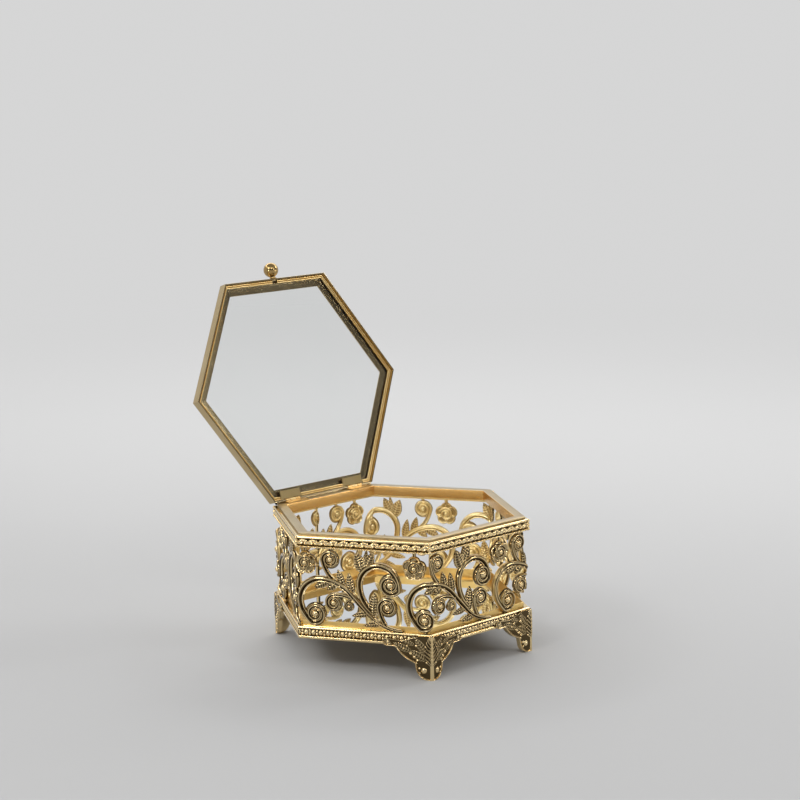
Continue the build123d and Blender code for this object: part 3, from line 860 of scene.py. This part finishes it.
# Ornament of a wing, as reach along the wall and height: a scroll, leaves, and beads with their radius
WING_SCROLL = (20.9, 17.3, 2.1, 200, 1)
WING_LEAVES = [
    (2.6, 9.6, 10.6, 13.8, 3.8),
    (2.4, 12.6, 7.8, 19.9, 3.6),
    (9.6, 13.4, 18.4, 17.0, 3.2),
    (8.2, 16.6, 14.0, 18.6, 2.2),
]
WING_BEADS = [(8.2, 10.9, 0.85), (9.9, 12.5, 0.8), (6.7, 9.4, 0.75), (11.6, 15.9, 0.7), (13.2, 14.7, 0.65),
              (7.2, 16.2, 0.75), (2.2, 8.5, 0.65), (7.3, 8.0, 0.6), (3.6, 4.6, 1.5), (5.8, 5.6, 0.7),
              (5.6, 3.4, 0.6)]
wing_plate = 0.3  # how far a wing's plain ground stands out at its edges
# painted shade over a wing's plain ground, for its dark reflection
ground_painted_shade = 0.92
edge_inset = 0.42  # of the stems that line a wing, from its outline


def with_painted_shade(shape, share, least):
    """A shape with its painted shade scaled and kept above a least painted shade."""
    points, faces, painted_shade = shape
    return points, faces, np.maximum(painted_shade * share, least)


def stem_along(points, width, base, rise, inner):
    """A fluted stem through a list of points."""
    points = np.array(points, float)
    distance = np.concatenate([[0], np.cumsum(np.hypot(*np.diff(points, axis=0).T))])
    even = np.linspace(0, distance[-1], max(6, int(distance[-1] / 0.3)))
    centres = np.column_stack([np.interp(even, distance, values) for values in points.T])
    centres[1:-1] = (centres[:-2] + 2 * centres[1:-1] + centres[2:]) / 4
    widths = width * rounded_end(np.minimum(even, even[-1] - even), 0.5)
    return stem_shape(centres, headings_along(centres), widths, base, rise, inner)


def between(bottom, top, count):
    """Rows of heights from a lower to an upper edge."""
    mix = np.linspace(0, 1, count)[:, None]
    return bottom[None, :] * (1 - mix) + top[None, :] * mix


def lowered(shape, depth, lift):
    """A shape with its relief flattened to a share of its depth and lifted."""
    return moved(shape, lambda points: points * [1, 1, depth] + [0, 0, lift])


def wing_ornament(lower, upper):
    """The stems along a wing's edges, and its scroll, leaves and beads."""
    rim = np.array([(0.4, edge_inset)] + [(x - edge_inset * 0.6, z + edge_inset * 0.8)
                                          for x, z in lower if x >= sole_width])
    edge = np.array([(x, z - edge_inset) for x, z in upper if x > 2])
    # the rim stem keeps a quarter of its painted shade, and the leaves have at least 0.45 of it
    shapes = [with_painted_shade(stem_along(rim, 0.95, wing_plate - 0.1, 0.75, 1), 0.25, 0)]
    shapes.append(stem_along(edge, 0.9, wing_plate - 0.1, 0.55, -1))
    shapes += [lowered(part, 0.5, 0.35) for part in spiral_boss(*WING_SCROLL)]
    shapes += [with_painted_shade(lowered(leaf_shape(*leaf), 0.45, 0.4), 1, 0.45) for leaf in WING_LEAVES]
    return shapes + [polar_shape(x, z, radius, 0.85, 0.4, 7, 18) for x, z, radius in WING_BEADS]


def wing_shapes(facing_left, side, length):
    """One wing of a foot: its plain ground, its ornament, and the ledge under the rail."""
    lower, upper = wing_edges()
    share = length / wing_reach

    def placed(shape):
        points, faces, painted_shade = shape
        out = np.clip(points[:, 2], 0, foot_relief)
        inside = np.clip(points[:, 0] * share, -0.2, length)
        height = np.clip(points[:, 1], 0, foot_top)
        return corner_wrap(side * inside, height, out, facing_left), faces, painted_shade

    reach = np.linspace(0, wing_reach, int(wing_reach / 0.25))
    bottom = np.interp(reach, lower[:, 0], lower[:, 1])
    top = np.interp(reach, upper[:, 0], upper[:, 1])
    height = between(bottom, top, 40)
    across = np.tile(reach[None, :], (40, 1))
    depth = np.clip(edge_distance(across, height, lower) / 3.0, 0, 1)
    ground = np.stack([across, height, wing_plate + 0.3 * half_round(1 - depth)], axis=-1)
    ground = sheet(ground, ground * [1, 1, 0], np.full(across.shape, ground_painted_shade))
    shapes = [placed(shape) for shape in [ground] + wing_ornament(lower, upper)]
    ledge_top = np.minimum(top, rail_bottom)
    height = between(np.minimum(bottom, ledge_top), ledge_top, 8)
    across = np.tile(reach[None, :] * share, (8, 1))
    front = corner_wrap(side * across, height, np.full(across.shape, 0.1), facing_left)
    back = corner_wrap(side * np.maximum(across, foot_ledge / sqrt(3)), height,
                       np.full(across.shape, -foot_ledge), facing_left)
    return shapes + [sheet(front, back, np.zeros(across.shape))]


def ridge_shape(facing_left):
    """The corner of a foot: a leaf with herringbone veins above a plain round stem."""
    height = np.linspace(0, foot_top, 130)[:, None]
    t = np.linspace(-1, 1, 33)[None, :]
    climb = np.clip((height - ridge_leaf_start) / (foot_top - ridge_leaf_start), 0, 1)
    leaf = np.sin(pi * climb ** 0.75) ** 0.6
    half = 0.7 + 2.5 * leaf
    veins, rib = wave(height / ridge_vein_pitch - 1.5 * np.abs(t)), peak(t, 0.11)
    rise = 0.45 + 0.6 * half_round(t) * (1 - leaf) + 0.3 * leaf
    out = rise + leaf * (0.5 * veins * (1 - rib) + 0.6 * rib) * half_round(0.97 * t)
    out = np.clip(out, 0, foot_relief)
    front = corner_wrap(half * t, height, out, facing_left)
    back = corner_wrap(half * t, height, np.zeros_like(out), facing_left)
    # painted shade between the leaf's veins, lighter on the vein crests and the midrib, none on the plain
    # stem
    low = np.clip(leaf * (1.2 - veins ** 2) * (1 - rib) * 1.2, 0, 0.95) * np.ones_like(out)
    return sheet(front, back, low)


def foot_shape(facing_left):
    wings = wing_shapes(facing_left, -1, wing_reach) + wing_shapes(facing_left, 1, short_wing_reach)
    return combined(wings + [ridge_shape(facing_left)])


# Materials


def set_inputs(tree, node, inputs):
    """Links each named input to a socket, or sets it to a plain value."""
    for name, value in inputs.items():
        if isinstance(value, bpy.types.NodeSocket):
            tree.links.new(value, node.inputs[name])
        else:
            node.inputs[name].default_value = value


def new_node(tree, kind, inputs, **settings):
    """A shader node of a kind, with its inputs and its own settings."""
    node = tree.nodes.new(f"ShaderNode{kind}")
    for name, value in settings.items():
        setattr(node, name, value)
    set_inputs(tree, node, inputs)
    return node


def principled(name, metallic, roughness):
    """A new material, its node tree and its main shader."""
    material = bpy.data.materials.new(name)
    material.use_nodes = True
    tree = material.node_tree
    shader = tree.nodes["Principled BSDF"]
    set_inputs(tree, shader, {"Metallic": metallic, "Roughness": roughness})
    return material, tree, shader


def noise(tree, scale, detail):
    place = new_node(tree, "TexCoord", {}).outputs["Object"]
    return new_node(tree, "TexNoise", {"Vector": place, "Scale": scale, "Detail": detail}).outputs["Fac"]


def ranged(tree, source, low, high):
    """A value from 0 to 1 stretched to another range."""
    return new_node(tree, "MapRange", {"Value": source, "To Min": low, "To Max": high}).outputs["Result"]


def smooth_ramp(tree, source, start, end):
    """0 up to the start, 1 from the end on, and a smooth rise between them."""
    inputs = {"Value": source, "From Min": start, "From Max": end}
    return new_node(tree, "MapRange", inputs, interpolation_type="SMOOTHSTEP").outputs["Result"]


def mixed_colour(tree, factor, first, second):
    """A mix of two colours, each of them three numbers or a socket."""
    first, second = ((*colour, 1) if isinstance(colour, tuple) else colour for colour in (first, second))
    return new_node(tree, "Mix", {0: factor, 6: first, 7: second}, data_type="RGBA").outputs[2]


drift_scale, ripple_scale, fine_scale = 90, 420, 1400


def plated_metal(name, bright, warm, painted_shade_colour, roughness, unevenness):
    """Gold plating: colour drifts between two golds, each point's painted shade darkens it towards a
    shade colour, and the surface is slightly uneven from casting and polishing."""
    material, tree, shader = principled(name, 1.0, roughness[0])
    drift = ranged(tree, noise(tree, drift_scale, 3), -0.6, 1.6)
    painted_shade_layer = new_node(tree, "Attribute", {}, attribute_name="painted_shade_layer").outputs["Fac"]
    uneven = new_node(tree, "Bump", {"Strength": 0.6, "Distance": unevenness * MM,
                                     "Height": noise(tree, ripple_scale, 2)})
    set_inputs(tree, shader, {
        "Base Color": mixed_colour(tree, painted_shade_layer, mixed_colour(tree, drift, bright, warm), painted_shade_colour),
        "Roughness": ranged(tree, noise(tree, fine_scale, 4), *roughness),
        "Normal": uneven.outputs["Normal"],
    })
    return material


def clear_glass():
    material, tree, shader = principled("clear_glass", 0.0, 0.0)
    colour = mixed_colour(tree, noise(tree, 60, 2), (0.955, 0.975, 0.97), (0.985, 0.99, 0.99))
    set_inputs(tree, shader, {"Transmission Weight": 1.0, "IOR": 1.47, "Base Color": colour})
    return material


def mirror_glass():
    material, tree, shader = principled("mirror_glass", 1.0, 0.02)
    haze = noise(tree, 70, 3)
    colour = mixed_colour(tree, haze, (0.83, 0.87, 0.90), (0.90, 0.93, 0.95))
    set_inputs(tree, shader, {"Base Color": colour, "Roughness": ranged(tree, haze, 0.01, 0.05)})
    return material


# Each gold's two colours, its colour under painted shade, its range of roughness and its unevenness
dull_painted_shade = (0.2, 0.13, 0.06)
GOLDS = {
    # the bright gold's near-black shade colour makes the painted dark reflections on the outer faces
    "bright": ((0.94, 0.755, 0.43), (0.88, 0.65, 0.32), (0.038, 0.02, 0.004), (0.05, 0.12), 0.006),
    # the inner gold, for faces turned into the box, is a rougher copy of the bright gold, painted lighter
    # and with a lighter shade colour, as painted light for the bright inside
    "inner": ((1.0, 0.83, 0.45), (0.98, 0.75, 0.34), (0.32, 0.19, 0.06), (0.26, 0.34), 0.004),
    "satin": ((0.42, 0.33, 0.18), (0.385, 0.28, 0.135), dull_painted_shade, (0.26, 0.31), 0.0012),
    "rim": ((0.80, 0.54, 0.23), (0.74, 0.46, 0.16), dull_painted_shade, (0.24, 0.29), 0.0012),
    "knob": ((0.49, 0.345, 0.16), (0.42, 0.28, 0.11), dull_painted_shade, (0.15, 0.19), 0.001),
    "bead": ((0.82, 0.62, 0.30), (0.76, 0.54, 0.22), (0.10, 0.06, 0.02), (0.26, 0.32), 0.001),
    "lid": ((0.60, 0.48, 0.28), (0.52, 0.39, 0.20), dull_painted_shade, (0.16, 0.22), 0.0015),
    "floor": ((0.74, 0.53, 0.21), (0.68, 0.46, 0.15), dull_painted_shade, (0.34, 0.38), 0.0006),
}
gold = {name: plated_metal(f"{name}_gold", *look) for name, look in GOLDS.items()}
glass = clear_glass()
mirror = mirror_glass()


def dress(name, material):
    """Gives a CAD node its material."""
    for slot in nodes[name].material_slots:
        slot.material = material


# Pieces of the box
for wall_name, shape in openwork().items():
    make_piece(f"openwork_scrolls_{wall_name}", shape, gold["bright"], "box", f"openwork_{wall_name}",
               cast_crease, (gold["inner"], -outward(WALLS[wall_name])))
for wall_name, facing in WALLS.items():
    top_rail = rail_shape(top_rail_profile(), facing, top_relief, in_top_band)
    bottom_rail = rail_shape(bottom_rail_profile(), facing, bottom_relief, in_base_band)
    inward = gold["rim"], -outward(facing)
    for name, node, shape, material, crease, inside in (
        ("top_moulding", "top_rail", top_rail, gold["bright"], cast_crease, None),
        ("bottom_moulding", "bottom_rail", bottom_rail, gold["bright"], cast_crease, inward),
        ("rim_angle", "rim_strip", rim_strip(facing), gold["satin"], strip_crease, inward),
        ("base_angle", "base_strip", base_strip(facing), gold["floor"], strip_crease, None),
    ):
        make_piece(f"{name}_{wall_name}", shape, material, "box", f"{node}_{wall_name}", crease, inside)
# Each foot's corner and the wall to the left of it
for corner_name, wall_name in (("back_left", "back"), ("front_left", "front_left"),
                               ("front_right", "front"), ("back_right", "back_right")):
    make_piece(f"foot_casting_{corner_name}", foot_shape(WALLS[wall_name]), gold["bright"], "box",
               f"foot_{corner_name}", cast_crease)
dress("base_plate", gold["satin"])
dress("mirror_plate", mirror)
dress("corner_beads", gold["bright"])

# Pieces of the lid
for wall_name, facing in WALLS.items():
    strip = moved(lid_strip(wall_name, facing), opened)
    make_piece(f"lid_angle_{wall_name}", strip, gold["lid"], "lid", f"lid_strip_{wall_name}", strip_crease)
make_piece("lid_glass_bead", moved(glass_bead_shapes(), opened), gold["bead"], "lid", "glass_bead",
           strip_crease)
make_piece("lid_knob", moved(knob_shape(), opened), gold["knob"], "lid", "knob", knob_crease)
dress("lid_glass", glass)
dress("knob_rivet", gold["bright"])
for hand in ("left", "right"):
    dress(f"hinge_leaf_box_{hand}", gold["rim"])
    dress(f"hinge_leaf_lid_{hand}", gold["bead"])
    dress(f"hinge_pin_{hand}", gold["bright"])


# Floor, backdrop, lights and camera
floor_colour = (0.54, 0.54, 0.54)
far_colour = (0.67, 0.67, 0.67)
far_start, far_end = 350, 1300  # where the floor begins and ends to turn into the far colour
floor_reach = 20000


def pale_floor():
    """A pale floor that runs out into an even far colour, the same for the eye and in metal and glass."""
    material, tree, shader = principled("pale_floor", 0.0, 0.9)
    shade = tuple(0.97 * channel for channel in floor_colour)
    set_inputs(tree, shader, {"Specular IOR Level": 0.2,
                              "Base Color": mixed_colour(tree, noise(tree, 3, 2), floor_colour, shade)})
    place = new_node(tree, "TexCoord", {}).outputs["Object"]
    distance = new_node(tree, "VectorMath", {0: place}, operation="LENGTH").outputs["Value"]
    path = new_node(tree, "LightPath", {}).outputs
    seen = path["Is Camera Ray"]
    for kind in ("Is Glossy Ray", "Is Transmission Ray"):
        seen = new_node(tree, "Math", {0: seen, 1: path[kind]}, operation="MAXIMUM").outputs[0]
    far = smooth_ramp(tree, distance, far_start * MM, far_end * MM)
    far = new_node(tree, "Math", {0: far, 1: seen}, operation="MULTIPLY").outputs[0]
    glow = new_node(tree, "Emission", {"Color": (*far_colour, 1)})
    mix = new_node(tree, "MixShader", {0: far, 1: shader.outputs[0], 2: glow.outputs[0]})
    set_inputs(tree, tree.nodes["Material Output"], {"Surface": mix.outputs[0]})
    return material


def stage_floor():
    mesh = bpy.data.meshes.new("floor")
    reach = floor_reach * MM
    corners = [(-reach, -reach, 0), (reach, -reach, 0), (reach, reach, 0), (-reach, reach, 0)]
    mesh.from_pydata(corners, [], [(0, 1, 2, 3)])
    mesh.materials.append(pale_floor())
    plane = add_object("floor", mesh)


def placed_axes(right, up, back, place):
    columns = np.column_stack([right, up, back, np.array(place) * MM])
    return Matrix(np.vstack([columns, [0, 0, 0, 1]]).tolist())


def area_light(name, place, target, size, power):
    data = bpy.data.lights.new(name, "AREA")
    data.shape = "RECTANGLE"
    data.size, data.size_y = size[0] * MM, size[1] * MM
    data.energy = power
    lamp = add_object(name, data)
    place, target = np.array(place, float), np.array(target, float)
    back = (place - target) / np.linalg.norm(place - target)
    right = np.cross([0, 0, 1], back)
    right /= np.linalg.norm(right)
    lamp.matrix_world = placed_axes(right, np.cross(back, right), back, place)


near_room = (0.12, 0.12, 0.12)
dim_ceiling = (0.07, 0.07, 0.07)
ring_light = (3.6, 3.6, 3.6)
quiet_ring = (1.1, 1.1, 1.1)
overhead = (0.4, 0.4, 0.4)
near_direction = (-0.342, -0.940, 0)
quiet_direction = (0.64, -0.77, 0)


def studio_world():
    """From the horizon up: the far colour all round, the dim near room, a dim band, a narrow bright ring
    that is quieter on the right, and a soft light overhead."""
    world = bpy.data.worlds.new("studio")
    bpy.context.scene.world = world
    world.use_nodes = True
    tree = world.node_tree
    direction = new_node(tree, "TexCoord", {}).outputs["Generated"]
    height = new_node(tree, "SeparateXYZ", {"Vector": direction}).outputs["Z"]

    def towards(side, start, end):
        along_side = new_node(tree, "VectorMath", {0: direction, 1: side}, operation="DOT_PRODUCT")
        return smooth_ramp(tree, along_side.outputs["Value"], start, end)

    room = mixed_colour(tree, towards(near_direction, -0.1, 0.45), far_colour, near_room)
    ring = mixed_colour(tree, towards(quiet_direction, 0.1, 0.7), ring_light, quiet_ring)
    colour = far_colour
    for start, end, above in ((0.04, 0.07, room), (0.42, 0.52, dim_ceiling), (0.56, 0.59, ring),
                              (0.66, 0.70, overhead)):
        colour = mixed_colour(tree, smooth_ramp(tree, height, start, end), colour, above)
    set_inputs(tree, tree.nodes["Background"], {"Color": colour, "Strength": 1.0})


# Softboxes: place, the point that it faces, size and power
box_middle = (0, 0, 40)
SOFTBOXES = {
    "far": ((560, 610, 520), (560.1, 610.1, 0), (1400, 1150), 5.0),
    "left": ((-680, -60, 620), box_middle, (220, 160), 0.8),
    "camera": ((-420, -760, 800), box_middle, (260, 120), 0.8),
    "right": ((640, -220, 560), box_middle, (150, 260), 0.8),
    "front": ((160, -820, 480), box_middle, (120, 200), 0.6),
    "left_low": ((-886, -156, 200), box_middle, (110, 110), 0.7),
    "right_low": ((554, -709, 90), box_middle, (120, 90), 0.4),
}

stage_floor()
studio_world()
for side, look in SOFTBOXES.items():
    area_light(f"{side}_softbox", *look)

# Camera of the photograph: place in the part's frame, direction and lens
camera_place = (-650.4, -734.9, 290.6)
camera_yaw, camera_pitch, camera_roll = 42.381, -9.991, -1.156
lens_in_widths = 2.552  # focal length as a share of the picture's width
sensor_width = 36.0


def photo_camera():
    yaw, pitch, roll = radians(camera_yaw), radians(camera_pitch), radians(camera_roll)
    forward = np.array([sin(yaw) * cos(pitch), cos(yaw) * cos(pitch), sin(pitch)])
    level = np.array([cos(yaw), -sin(yaw), 0.0])
    upright = np.cross(level, forward)
    right = level * cos(roll) + upright * sin(roll)
    up = -level * sin(roll) + upright * cos(roll)
    data = bpy.data.cameras.new("photo_camera")
    data.sensor_width = sensor_width
    data.lens = lens_in_widths * sensor_width
    data.clip_start, data.clip_end = 0.01, 50
    camera = add_object("photo_camera", data)
    camera.matrix_world = placed_axes(right, up, -forward, camera_place)
    bpy.context.scene.camera = camera


photo_camera()
bpy.context.scene.view_settings.view_transform = "Standard"
